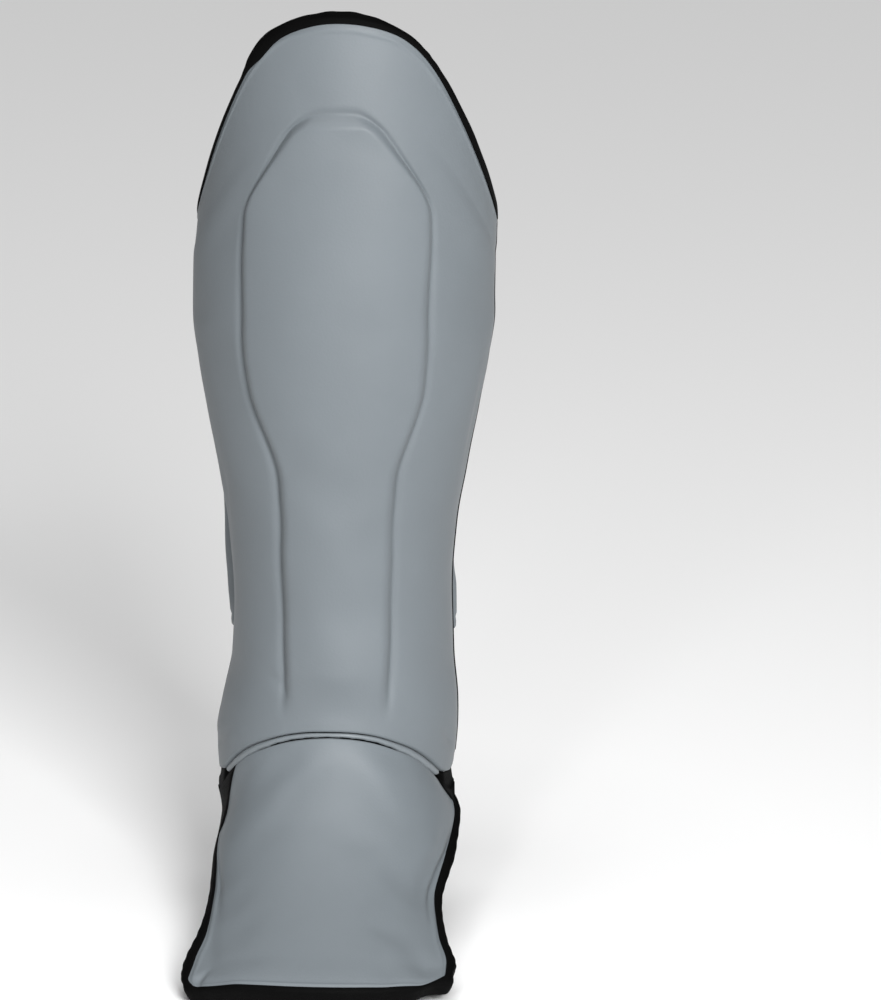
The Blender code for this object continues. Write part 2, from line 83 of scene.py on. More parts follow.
# a column of a table read smoothly between its rows, without overshoot
def readRows(rows, column, at):
    rows = np.array(rows, float)
    x, y = rows[:, 0], rows[:, column]
    at = np.clip(np.asarray(at, float), x[0], x[-1])
    step = np.diff(x)
    rise = np.diff(y) / step
    slope = np.zeros_like(y)
    slope[0], slope[-1] = rise[0], rise[-1]
    same = rise[:-1] * rise[1:] > 0
    slope[1:-1][same] = 2 * (rise[:-1] * rise[1:])[same] / (rise[:-1] + rise[1:])[same]
    i = np.clip(np.searchsorted(x, at, side="right") - 1, 0, len(x) - 2)
    t = (at - x[i]) / step[i]
    return (
        y[i] * (2 * t**3 - 3 * t**2 + 1) + slope[i] * step[i] * (t**3 - 2 * t**2 + t)
        + y[i + 1] * (3 * t**2 - 2 * t**3) + slope[i + 1] * step[i] * (t**3 - t**2)
    )


# the same with its corners rounded over a reach
def readSoft(rows, column, at, reach):
    at = np.asarray(at, float)
    return sum(readRows(rows, column, np.abs(at + reach * k)) for k in (-1, -0.5, 0, 0.5, 1)) / 5


def ease(t):
    t = np.clip(t, 0, 1)
    return t * t * (3 - 2 * t)


def bump(t):
    return np.exp(-t * t)


def unit(v):
    return v / np.maximum(np.linalg.norm(v, axis=-1, keepdims=True), 1e-9)


def xyz(x, y, z):
    return np.stack(np.broadcast_arrays(x, y, z), axis=-1)


# stations from -1 to 1 or 0 to 1 that crowd near the marks (place, reach, how many times denser)
def spread(marks, count):
    low = -1.0 if any(place < 0 for place, _, _ in marks) else 0.0
    fine = np.linspace(low, 1, 4001)
    density = np.ones_like(fine)
    for place, reach, more in marks:
        density += more * bump((fine - place) / reach)
    run = np.concatenate([[0], np.cumsum((density[1:] + density[:-1]) / 2)])
    return np.interp(np.linspace(0, run[-1], count), run, fine)


def gridNormals(p, turned=False):
    across, along = np.gradient(p, axis=1), np.gradient(p, axis=0)
    return unit(np.cross(along, across) if turned else np.cross(across, along))


def soften(field, times=1):
    for _ in range(times):
        padded = np.pad(field, [(1, 1), (1, 1)] + [(0, 0)] * (field.ndim - 2), mode="edge")
        field = (
            4 * field + padded[:-2, 1:-1] + padded[2:, 1:-1] + padded[1:-1, :-2] + padded[1:-1, 2:]
        ) / 8
    return field


# smooth uneven noise from -1 to 1 for handmade softness
def waves(shape, seed, cells, across=1.0):
    rng = np.random.default_rng(seed)
    rows, cols = shape
    r, c = max(3, int(cells)), max(3, int(cells * across))
    knots = rng.uniform(-1, 1, (r, c))
    at = np.linspace(0, r - 1, rows)
    rough = np.array([np.interp(at, np.arange(r), knots[:, k]) for k in range(c)]).T
    at = np.linspace(0, c - 1, cols)
    field = np.array([np.interp(at, np.arange(c), line) for line in rough])
    return soften(field, int(max(rows / r, cols / c) * 1.5))


def meshObject(name, verts, faces):
    mesh = bpy.data.meshes.new(name)
    mesh.from_pydata([tuple(v) for v in np.asarray(verts)], [], [tuple(f) for f in faces])
    mesh.validate()
    bm = bmesh.new()
    bm.from_mesh(mesh)
    if bm.calc_volume(signed=True) < 0:
        bmesh.ops.reverse_faces(bm, faces=bm.faces[:])
    bm.to_mesh(mesh)
    bm.free()
    mesh.shade_smooth()
    made = bpy.data.objects.new(name, mesh)
    bpy.context.collection.objects.link(made)
    return made


# grid indices once round the border
def borderOf(rows, cols):
    bottom = [(0, c) for c in range(cols - 1)]
    right = [(r, cols - 1) for r in range(rows - 1)]
    top = [(rows - 1, c) for c in range(cols - 1, 0, -1)]
    left = [(r, 0) for r in range(rows - 1, 0, -1)]
    return bottom + right + top + left


# a closed soft wall between two grids, with a rounded lip all round
def wallMesh(name, outer, inner, roundness=0.8, loops=3):
    rows, cols = outer.shape[:2]
    number = np.arange(rows * cols).reshape(rows, cols)
    quads = np.stack(
        [number[:-1, :-1], number[:-1, 1:], number[1:, 1:], number[1:, :-1]], -1
    ).reshape(-1, 4)
    faces = [*quads.tolist(), *(quads[:, ::-1] + rows * cols).tolist()]
    ring = borderOf(rows, cols)
    r, c = np.array(ring).T
    middle = (outer + inner) / 2
    inside = middle[np.clip(r, 1, rows - 2), np.clip(c, 1, cols - 2)]
    a, b = outer[r, c], inner[r, c]
    half = np.linalg.norm(a - b, axis=-1, keepdims=True) / 2
    off = unit(middle[r, c] - inside)
    verts = [outer.reshape(-1, 3), inner.reshape(-1, 3)]
    previous, total = number[r, c], 2 * rows * cols
    count = len(ring)
    for k in range(1, loops + 2):
        if k <= loops:
            turn = math.pi * k / (loops + 1)
            verts.append((a + b) / 2 + (a - b) / 2 * math.cos(turn) + off * half * roundness * math.sin(turn))
            here = np.arange(total, total + count)
            total += count
        else:
            here = number[r, c] + rows * cols
        for i in range(count):
            j = (i + 1) % count
            faces.append((previous[j], previous[i], here[i], here[j]))
        previous = here
    return meshObject(name, np.concatenate(verts), faces)


# a closed body through rings of points, rings by points by xyz
def sweepMesh(name, rings):
    count, points = rings.shape[:2]
    faces = []
    for i in range(count - 1):
        for j in range(points):
            k = (j + 1) % points
            faces.append((i * points + j, i * points + k, (i + 1) * points + k, (i + 1) * points + j))
    faces += [tuple(range(points)), tuple(range((count - 1) * points, count * points))]
    return meshObject(name, rings.reshape(-1, 3), faces)


# lets a cover swell under pressure between its held lines; gives back how far each point moved
def puff(grid, held, cloth):
    rows, cols = grid.shape[:2]
    number = np.arange(rows * cols).reshape(rows, cols)
    quads = np.stack(
        [number[:-1, :-1], number[:-1, 1:], number[1:, 1:], number[1:, :-1]], -1
    ).reshape(-1, 4)
    if cloth["turned"]:
        quads = quads[:, ::-1]
    mesh = bpy.data.meshes.new("cover")
    mesh.from_pydata([tuple(v) for v in grid.reshape(-1, 3)], [], quads.tolist())
    cover = bpy.data.objects.new("cover", mesh)
    bpy.context.collection.objects.link(cover)
    pins = cover.vertex_groups.new(name="held")
    for i in np.flatnonzero(held.reshape(-1)):
        pins.add([int(i)], 1.0, "REPLACE")
    soft = cover.modifiers.new("cloth", "CLOTH")
    sim = soft.settings
    sim.quality = cloth["quality"]
    sim.mass = cloth["mass"]
    sim.tension_stiffness = sim.compression_stiffness = cloth["stretch"]
    sim.shear_stiffness = cloth["stretch"] / 3
    sim.bending_stiffness = cloth["bend"]
    sim.use_pressure = True
    sim.uniform_pressure_force = cloth["pressure"]
    sim.shrink_min = -cloth["slack"]
    sim.vertex_group_mass = "held"
    sim.effector_weights.gravity = 0
    soft.collision_settings.use_collision = False
    soft.point_cache.frame_start, soft.point_cache.frame_end = 1, cloth["frames"]
    for moment in range(1, cloth["frames"] + 1):
        bpy.context.scene.frame_set(moment)
    result = cover.evaluated_get(bpy.context.evaluated_depsgraph_get()).to_mesh()
    moved = np.empty(rows * cols * 3)
    result.vertices.foreach_get("co", moved)
    moved = soften(moved.reshape(rows, cols, 3) - grid, cloth["even"])
    bpy.data.objects.remove(cover, do_unlink=True)
    bpy.context.scene.frame_set(1)
    far = np.linalg.norm(moved, axis=-1, keepdims=True)
    cap = cloth["cap"]
    return moved * cap * np.tanh(far / cap) / np.maximum(far, 1e-9)


# a coarse field of moves read on a finer grid
def onFiner(moved, coarseV, coarseU, v, u):
    part = np.stack([
        np.array([np.interp(u, coarseU, line) for line in moved[:, :, k]]) for k in range(3)
    ], -1)
    fine = np.stack([
        np.array([np.interp(v, coarseV, part[:, c, k]) for c in range(len(u))]).T for k in range(3)
    ], -1)
    return soften(fine, 3)


# materials

grainSet = {
    "detail": 3.0, "mix": 0.55, "tintLow": 0.3, "tintHigh": 0.7, "roughnessSpread": 0.06,
    "weaveTurn": 0.6, "weaveWander": 0.6, "weaveFine": 2.0,
    "fineScale": 2.5, "fineDetail": 2.0, "fineShare": 0.35,
    "reliefDepth": 0.0004, "sheenRoughness": 0.4,
}


def node(tree, kind, **inputs):
    made = tree.nodes.new(kind)
    for name, value in inputs.items():
        made.inputs[name].default_value = value
    return made


# a grained hide or a cloth with slight unevenness in colour and sheen
def softMaterial(name, look):
    g = grainSet
    made = bpy.data.materials.new(name)
    made.use_nodes = True
    tree = made.node_tree
    link = tree.links.new
    shader = tree.nodes["Principled BSDF"]
    place = tree.nodes.new("ShaderNodeTexCoord")

    broad = node(tree, "ShaderNodeTexNoise", Scale=look["patch"], Detail=g["detail"], Roughness=g["mix"])
    link(place.outputs["Object"], broad.inputs["Vector"])
    tint = tree.nodes.new("ShaderNodeValToRGB")
    for i, (position, share) in enumerate(
            [(g["tintLow"], 1 - look["uneven"]), (g["tintHigh"], 1 + look["uneven"])]):
        tint.color_ramp.elements[i].position = position
        tint.color_ramp.elements[i].color = (*[c * share for c in look["colour"]], 1)
    link(broad.outputs["Fac"], tint.inputs["Fac"])
    link(tint.outputs["Color"], shader.inputs["Base Color"])

    rough = tree.nodes.new("ShaderNodeMapRange")
    rough.inputs["To Min"].default_value = look["roughness"] - g["roughnessSpread"]
    rough.inputs["To Max"].default_value = look["roughness"] + g["roughnessSpread"]
    link(broad.outputs["Fac"], rough.inputs["Value"])
    link(rough.outputs["Result"], shader.inputs["Roughness"])

    if look["weave"]:
        turned = tree.nodes.new("ShaderNodeMapping")
        turned.inputs["Rotation"].default_value = (0.0, 0.0, g["weaveTurn"])
        link(place.outputs["Object"], turned.inputs["Vector"])
        lines = []
        for direction in ("X", "Z"):
            band = node(tree, "ShaderNodeTexWave", Scale=look["grain"], Distortion=g["weaveWander"])
            band.inputs["Detail Scale"].default_value = g["weaveFine"]
            band.bands_direction = direction
            link(turned.outputs["Vector"], band.inputs["Vector"])
            lines.append(band)
        grain = tree.nodes.new("ShaderNodeMath")
        grain.operation = "MULTIPLY"
        link(lines[0].outputs["Fac"], grain.inputs[0])
        link(lines[1].outputs["Fac"], grain.inputs[1])
        height = grain.outputs["Value"]
    else:
        cells = node(tree, "ShaderNodeTexVoronoi", Scale=look["grain"])
        cells.feature = "SMOOTH_F1"
        link(place.outputs["Object"], cells.inputs["Vector"])
        fine = node(tree, "ShaderNodeTexNoise", Scale=look["grain"] * g["fineScale"], Detail=g["fineDetail"])
        link(place.outputs["Object"], fine.inputs["Vector"])
        grain = tree.nodes.new("ShaderNodeMath")
        grain.operation = "MULTIPLY_ADD"
        grain.inputs[1].default_value = g["fineShare"]
        link(fine.outputs["Fac"], grain.inputs[0])
        link(cells.outputs["Distance"], grain.inputs[2])
        height = grain.outputs["Value"]
    relief = node(tree, "ShaderNodeBump", Strength=look["relief"], Distance=g["reliefDepth"])
    link(height, relief.inputs["Height"])
    link(relief.outputs["Normal"], shader.inputs["Normal"])

    shader.inputs["Specular IOR Level"].default_value = look["gloss"]
    shader.inputs["Sheen Weight"].default_value = look["sheen"]
    shader.inputs["Sheen Roughness"].default_value = g["sheenRoughness"]
    return made


looks = {
    "greyHide": {"colour": (0.130, 0.148, 0.161), "uneven": 0.035, "patch": 14.0, "roughness": 0.52,
                 "gloss": 0.35, "sheen": 0.04, "grain": 850.0, "relief": 0.12, "weave": False},
    "paleHide": {"colour": (0.150, 0.169, 0.182), "uneven": 0.04, "patch": 30.0, "roughness": 0.45,
                 "gloss": 0.4, "sheen": 0.04, "grain": 900.0, "relief": 0.10, "weave": False},
    "blackTrim": {"colour": (0.002, 0.002, 0.002), "uneven": 0.2, "patch": 40.0, "roughness": 0.62,
                  "gloss": 0.03, "sheen": 0.0, "grain": 1300.0, "relief": 0.25, "weave": True},
    "blackLining": {"colour": (0.006, 0.006, 0.0065), "uneven": 0.2, "patch": 22.0, "roughness": 0.8,
                    "gloss": 0.12, "sheen": 0.04, "grain": 900.0, "relief": 0.4, "weave": True},
    "blackElastic": {"colour": (0.008, 0.008, 0.0085), "uneven": 0.15, "patch": 25.0, "roughness": 0.78,
                     "gloss": 0.15, "sheen": 0.04, "grain": 500.0, "relief": 0.5, "weave": True},
}
hides = {name: softMaterial(name, look) for name, look in looks.items()}


def finishPiece(piece, look, standsFor):
    piece.data.materials.append(hides[look])
    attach(piece, "root")
    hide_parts(standsFor)
    print("made", piece.name, len(piece.data.polygons))
    return piece


# shin pad

shinSet = {
    "height": 0.3485, "halfWidth": 0.0742, "depth": 0.072, "wrap": 98.0,
    "thickness": 0.018, "edgeThickness": 0.009, "thickShare": 0.3,
    "topFall": 0.108, "archFall": 0.034, "sway": 0.004,
    "topRowsShare": 0.50, "archRowsShare": 0.25,
    "rows": 230, "columns": 137,
    # height, half width, depth, sway to the side
    "sections": [
        (-0.10, 0.785, 0.90, -0.85), (-0.04, 0.802, 0.89, -0.75), (0.00, 0.785, 0.87, -0.45),
        (0.07, 0.740, 0.84, -0.10), (0.15, 0.730, 0.835, 0.00), (0.25, 0.758, 0.86, 0.00),
        (0.33, 0.815, 0.89, 0.10), (0.43, 0.900, 0.94, 0.20), (0.50, 0.955, 0.97, 0.25),
        (0.57, 0.990, 0.99, 0.30), (0.65, 0.990, 1.00, 0.50), (0.78, 0.965, 1.00, 1.10),
        (0.90, 0.960, 0.98, 1.20), (1.00, 0.950, 0.95, 1.00),
    ],
    # angle, fall of the top edge, fall of the arch
    "edges": [
        (0.00, 0.00, 0.00), (0.18, 0.035, 0.05), (0.31, 0.11, 0.18), (0.39, 0.215, 0.29),
        (0.49, 0.38, 0.43), (0.59, 0.55, 0.66), (0.67, 0.67, 0.84), (0.76, 0.80, 1.00),
        (0.87, 0.92, 0.96), (1.00, 1.00, 0.80),
    ],
    # station up the pad, half width of the raised panel
    "panel": [
        (0.00, 0.250), (0.06, 0.285), (0.15, 0.305), (0.24, 0.306), (0.30, 0.292),
        (0.36, 0.290), (0.40, 0.319), (0.44, 0.361), (0.48, 0.390), (0.53, 0.395),
        (0.61, 0.392), (0.71, 0.398), (0.773, 0.396), (0.80, 0.340), (0.822, 0.276),
        (0.853, 0.203), (0.875, 0.150), (0.90, 0.160), (1.00, 0.400),
    ],
    # station up the pad, how far the panel leans to the right, in radians
    "panelLean": [(0.00, 0.030), (0.40, 0.030), (0.55, 0.0), (0.72, -0.010), (0.85, -0.042), (1.00, -0.042)],
    "panelShare": 0.4286, "panelTop": 0.875, "panelRise": 0.0034, "panelSlope": 0.0085,
    "grooveDepth": 0.0012, "grooveWidth": 0.0025, "panelFoot": 0.015, "panelFootBlend": 0.07,
    "panelLead": 0.15, "panelCorner": 0.010, "panelRounding": 0.014,
    "archRounding": 0.09, "topRounding": 0.08,   # how far the edges' corners are rounded, as shares
    "heldWidth": 0.0016, "heldFrom": 0.05, "tautReach": 0.05,   # what the cloth simulation leaves still
    "unevenness": 0.0003, "lip": 0.15,
    # how the grid's lines crowd: reach, how many times denser
    "sideCrowd": (0.03, 1), "panelCrowd": (0.05, 3), "endCrowd": (0.02, 1), "topCrowd": (0.025, 3),
}
shinCloth = {
    "pressure": 4.0, "frames": 20, "quality": 5, "mass": 0.3, "stretch": 20.0, "bend": 2.0, "slack": 0.006,
    "cap": 0.0008, "even": 14, "turned": False,   # cap: how far it may swell, even: rounds of smoothing
}


def shinAt(angle, height, inset=0.0):
    s = shinSet
    share = height / s["height"]
    width = s["halfWidth"] * readRows(s["sections"], 1, share)
    depth = s["depth"] * readRows(s["sections"], 2, share)
    sway = s["sway"] * readRows(s["sections"], 3, share)
    sin, cos = np.sin(angle), np.cos(angle)
    out = unit(xyz(sin / width, -cos / depth, 0.0 * share))
    return xyz(sway + width * sin, -depth * cos, height) - np.asarray(inset)[..., None] * out


def archHeight(angle):
    wrap = math.radians(shinSet["wrap"])
    soft = shinSet["archRounding"]
    return -shinSet["archFall"] * readSoft(shinSet["edges"], 2, np.abs(angle) / wrap, soft)


def edgeHeight(angle, v):
    s = shinSet
    fall = s["topFall"] * readSoft(s["edges"], 1, np.abs(angle) / math.radians(s["wrap"]), s["topRounding"])
    top = np.clip((v - s["topRowsShare"]) / (1 - s["topRowsShare"]), 0, None)
    arch = np.clip(1 - v / s["archRowsShare"], 0, None)
    return v * s["height"] - top * fall + arch * archHeight(angle)


# angle and height of a grid place, with a column on the raised panel's outline
def panelStation(u, v):
    s = shinSet
    wrap = math.radians(s["wrap"])
    panel = wrap * readSoft(s["panel"], 1, v, s["panelRounding"])
    share, across = s["panelShare"], np.abs(u)
    within = panel * across / share
    beyond = panel + (wrap - panel) * (across - share) / (1 - share)
    angle = np.copysign(np.where(across <= share, within, beyond), u)
    angle = angle + (1 - u * u) * readRows(s["panelLean"], 1, v)
    return angle, edgeHeight(angle, v)


def shinWall(angle):
    s = shinSet
    thinning = ease((np.abs(angle) / math.radians(s["wrap"]) - s["thickShare"]) / (1 - s["thickShare"]))
    return s["thickness"] + (s["edgeThickness"] - s["thickness"]) * thinning


# dents and creases: station, side place, turn in degrees, length, width, depth in metres
shinDents = [
    (0.072, -0.45, 140, 0.010, 0.0020, 0.0006),
    (0.030, -0.80, 8, 0.012, 0.0035, 0.0014),
    (0.035, 0.80, 160, 0.010, 0.0035, 0.0016),
    (0.300, -0.80, 82, 0.030, 0.0080, 0.0010),
    (0.420, 0.84, 96, 0.030, 0.0070, 0.0010),
]
instepDents = [
    (0.40, 0.94, 93, 0.034, 0.0026, 0.0038),
    (0.40, 0.82, 94, 0.032, 0.0060, 0.0016),
    (0.88, 0.78, 62, 0.014, 0.0075, 0.0020),
    (0.92, 0.50, 80, 0.012, 0.0060, 0.0007),
    (0.955, -0.88, 118, 0.007, 0.0020, 0.0016),
    (0.82, -0.84, 75, 0.018, 0.0050, 0.0010),
    (0.50, -0.90, 86, 0.026, 0.0030, 0.0010),
]


# depth field of soft dents laid on a surface
def dented(face, v, u, dents):
    depth = np.zeros(v.shape)
    for station, side, turn, length, width, deep in dents:
        row = np.abs(v[:, 0] - station).argmin()
        col = np.abs(u[0] - side).argmin()
        perColumn = np.linalg.norm(np.gradient(face, axis=1)[row, col]) / np.gradient(u, axis=1)[row, col]
        perRow = np.linalg.norm(np.gradient(face, axis=0)[row, col]) / np.gradient(v, axis=0)[row, col]
        x, y = (u - side) * perColumn, (v - station) * perRow
        c, s = math.cos(math.radians(turn)), math.sin(math.radians(turn))
        depth += deep * bump((x * c + y * s) / length) * bump((y * c - x * s) / width)
    return depth


rimRidge = {"place": 0.0034, "width": 0.0008, "height": 0.0005}   # the hide's turned edge beside the edging


# height of the hide's turned edge, a thin ridge a short way in from the rim
def ridged(face):
    stepU = np.linalg.norm(np.diff(face, axis=1), axis=-1)
    stepV = np.linalg.norm(np.diff(face, axis=0), axis=-1)
    fromLeft = np.concatenate([np.zeros((len(face), 1)), np.cumsum(stepU, axis=1)], axis=1)
    fromFoot = np.concatenate([np.zeros((1, face.shape[1])), np.cumsum(stepV, axis=0)], axis=0)
    edge = np.minimum(fromLeft, fromLeft[:, -1:] - fromLeft)
    edge = np.minimum(edge, fromFoot[-1:] - fromFoot)
    return rimRidge["height"] * bump((edge - rimRidge["place"]) / rimRidge["width"])


def shinGrids(v, u):
    v, u = np.meshgrid(v, u, indexing="ij")
    angle, height = panelStation(u, v)
    return v, u, shinAt(angle, height), shinAt(angle, height, shinWall(angle))


# metres inside the raised panel's outline, negative outside it
def panelDistance(face, v, u):
    s = shinSet
    perColumn = np.linalg.norm(np.gradient(face, axis=1), axis=-1) / np.abs(np.gradient(u, axis=1))
    perRow = np.linalg.norm(np.gradient(face, axis=0), axis=-1) / np.abs(np.gradient(v, axis=0))
    side = (s["panelShare"] - np.abs(u)) * perColumn
    top = (s["panelTop"] - v) * perRow
    corner = s["panelCorner"]
    within = np.minimum(side, top)
    both = (side < corner) & (top < corner)
    rounded = corner - np.hypot(corner - side, corner - top)
    return np.where(both, rounded, within)


def makeShinPad():
    s = shinSet
    share = s["panelShare"]
    side, panel, end = s["sideCrowd"], s["panelCrowd"], s["endCrowd"]
    u = spread([(-1, *side), (-share, *panel), (share, *panel), (1, *side)], s["columns"])
    v = spread([(0, *end), (s["panelTop"], *s["topCrowd"]), (1, *end)], s["rows"])
    simU, simV = u[::2], v[::2]
    simU, simV = np.unique(np.append(simU, u[-1])), np.unique(np.append(simV, v[-1]))
    gv, gu, face, _ = shinGrids(simV, simU)
    near = np.abs(panelDistance(face, gv, gu)) < s["heldWidth"]
    held = near & (gv > s["heldFrom"])
    held[0, :] = held[-1, :] = held[:, 0] = held[:, -1] = True
    moved = puff(face, held, shinCloth)
    loose = 1 - ease((simV - s["panelTop"]) / s["tautReach"] + 1)   # the top stays taut
    moved = moved * loose[:, None, None]

    gv, gu, face, back = shinGrids(v, u)
    out = gridNormals(face)
    inside = panelDistance(face, gv, gu)
    fade = ease((gv - s["panelFoot"]) / s["panelFootBlend"])
    rise = s["panelRise"] * ease(inside / s["panelSlope"] + s["panelLead"])
    groove = s["grooveDepth"] * bump(inside / s["grooveWidth"])
    height = fade * (rise - groove)
    height = height + s["unevenness"] * waves(height.shape, seed=4, cells=12, across=0.8)
    height = height - dented(face, gv, gu, shinDents) + ridged(face)
    face = face + out * height[..., None] + onFiner(moved, simV, simU, v, u)
    pad = wallMesh("shinPad", face, back, s["lip"])
    finishPiece(pad, "greyHide", "shin_pad")
    return face, back


shinFace, shinBack = makeShinPad()


# edging round the shin pad: a folded strip over the rim

liningDepth = 0.0029   # the lining's thickness and its clearance
foldSet = {
    "squareness": 0.55, "outerTaper": 0.75, "tuck": 0.3, "innerTaper": 0.7, "innerWidth": 0.6,
    "pucker": 0.04, "puckerPace": 0.9, "outerSteps": 13, "innerSteps": 9,
}
edgingSet = {
    # each table runs along the rim, from its left end (-1) over the middle (0) to its right end (1)
    "shin": {"cover": 0.0009, "laps": [
        (-1.0, 0.0010), (-0.135, 0.0010), (-0.10, 0.0032), (-0.06, 0.0018), (0.0, 0.0004), (0.10, 0.0006),
        (0.20, 0.0016), (0.32, 0.0022), (0.44, 0.0018), (0.50, 0.0010), (1.0, 0.0010),
    ], "leans": [
        (-1.0, 0.0), (1.0, 0.0),
    ], "widths": [
        (-1.0, 0.0016), (-0.34, 0.0018), (-0.145, 0.0022), (-0.10, 0.0054), (-0.06, 0.0046), (-0.03, 0.0038),
        (0.0, 0.0034), (0.12, 0.0036), (0.22, 0.0044), (0.32, 0.0044), (0.42, 0.0034),
        (0.46, 0.0020), (1.0, 0.0016),
    ]},
    "instep": {"cover": 0.0010, "laps": [
        (-1.0, 0.0026), (-0.5, 0.0022), (-0.36, 0.0010), (0.36, 0.0010), (0.5, 0.0022), (1.0, 0.0026),
    ], "leans": [
        (-1.0, 0.0), (0.70, 0.0), (0.84, 0.7), (0.94, 0.7), (1.0, 0.1),
    ], "widths": [
        (-1.0, 0.0020), (-0.95, 0.0036), (-0.90, 0.0044), (-0.80, 0.0042), (-0.55, 0.0040), (-0.42, 0.0060),
        (-0.35, 0.0070), (-0.29, 0.0044), (-0.20, 0.0030), (0.0, 0.0026), (0.20, 0.0030), (0.29, 0.0042),
        (0.34, 0.0056), (0.40, 0.0048), (0.55, 0.0036), (0.80, 0.0042), (0.93, 0.0046), (1.0, 0.0018),
    ]},
}


# how far along the rim each point is, from -1 over 0 in the middle to 1
def rimPlaces(line):
    run = np.concatenate([[0], np.cumsum(np.linalg.norm(np.diff(line, axis=0), axis=-1))])
    return 2 * run / run[-1] - 1


# a strip folded over a rim: along the outer face, round the edge and down the inner face
def makeEdging(name, outer, inner, off, sizes):
    across = unit(outer - inner)
    half = np.linalg.norm(outer - inner, axis=-1, keepdims=True) / 2 + sizes["cover"]
    middle = (outer + inner) / 2
    f, cover, places = foldSet, sizes["cover"], rimPlaces(outer)
    width = readRows(sizes["widths"], 1, places)[:, None]
    off = unit(off + across * readRows(sizes["leans"], 1, places)[:, None])
    lap = readRows(sizes["laps"], 1, places)[:, None]
    puckers = 1 + f["pucker"] * np.sin(np.arange(len(outer)) * f["puckerPace"])[:, None]

    def ring(h, w, t):
        up = math.copysign(abs(math.cos(t)) ** f["squareness"], math.cos(t))
        return middle + across * h * up + off * w * math.sin(t) ** f["squareness"]

    tucked = half - cover * f["tuck"]
    rings = [
        middle + across * tucked - off * lap,
        middle + across * half - off * lap * f["outerTaper"],
        *[ring(half, width * puckers, t) for t in np.linspace(0, math.pi, f["outerSteps"])],
        middle - across * half - off * lap * f["outerTaper"],
        middle - across * tucked - off * lap,
        middle - across * (half - cover) - off * lap * f["innerTaper"],
        *[ring(half - cover, width * f["innerWidth"], t) for t in np.linspace(math.pi, 0, f["innerSteps"])],
        middle + across * (half - cover) - off * lap * f["innerTaper"],
    ]
    return sweepMesh(name, np.stack(rings, axis=1))


# grid places up one side, over the last row and down the other side
def rimPath(rows, cols):
    left = [(r, 0) for r in range(rows)]
    over = [(rows - 1, c) for c in range(1, cols - 1)]
    right = [(r, cols - 1) for r in range(rows - 1, -1, -1)]
    return np.array(left + over + right).T


# the way out of the surface at each rim point
def rimOff(grid, r, c, smooth, reach=3):
    rows, cols = grid.shape[:2]
    inside = grid[np.clip(r, 0, rows - 1 - reach), np.clip(c, reach, cols - 1 - reach)]
    off = unit(grid[r, c] - inside)
    for _ in range(smooth):
        off[1:-1] = unit(off[:-2] + 2 * off[1:-1] + off[2:])
    return off


# the strip round a pad, over its lining's edge too
def edgingAround(name, face, back, sizes, smooth):
    r, c = rimPath(*face.shape[:2])
    inward = back - face
    lining = back + inward * (liningDepth / np.linalg.norm(inward, axis=-1, keepdims=True))
    return makeEdging(name, face[r, c], lining[r, c], rimOff(face, r, c, smooth=smooth), sizes)


def makeShinEdging():
    strip = edgingAround("shinEdging", shinFace, shinBack, edgingSet["shin"], smooth=7)
    finishPiece(strip, "blackTrim", "shin_binding")


makeShinEdging()


# ankle: piping along the arch and the web behind it

rollSet = {
    "radius": 0.0024, "clearance": 0.0010, "wrap": 67.0, "points": 161, "sides": 14,
    "radii": [(0.00, 0.42), (0.40, 0.56), (0.82, 1.00), (1.00, 0.60)],   # angle, share of the radius
    "bumps": [(0.05, 41, 0), (0.03, 97, 1)],   # height, pace, start
    "endTaper": 0.03, "endLeast": 0.02,
}


def makePiping():
    s = rollSet
    wrap = math.radians(s["wrap"])
    angle = np.linspace(-wrap, wrap, s["points"])
    here = shinAt(angle, archHeight(angle))
    along = unit(np.gradient(here, axis=0))
    outward = unit(xyz(np.sin(angle) / shinSet["halfWidth"], -np.cos(angle) / shinSet["depth"], 0 * angle))
    off = unit(np.cross(along, outward))
    off = np.where(off[:, 2:] < 0, off, -off)
    radius = s["radius"] * readRows(s["radii"], 1, np.abs(angle) / wrap)
    radius = radius * (1 + sum(height * np.sin(angle * pace + start) for height, pace, start in s["bumps"]))
    ends = np.sqrt(np.clip((1 - np.abs(angle) / wrap) / s["endTaper"], s["endLeast"], 1))
    centre = here + off * (radius + s["clearance"])[:, None] - outward * radius[:, None]
    turn = np.linspace(0, 2 * math.pi, s["sides"], endpoint=False)
    ring = (
        outward[:, None] * np.cos(turn)[None, :, None] + off[:, None] * np.sin(turn)[None, :, None]
    )
    rings = centre[:, None] + ring * (radius * ends)[:, None, None]
    finishPiece(sweepMesh("anklePiping", rings), "paleHide", "ankle_roll")


makePiping()


# instep pad

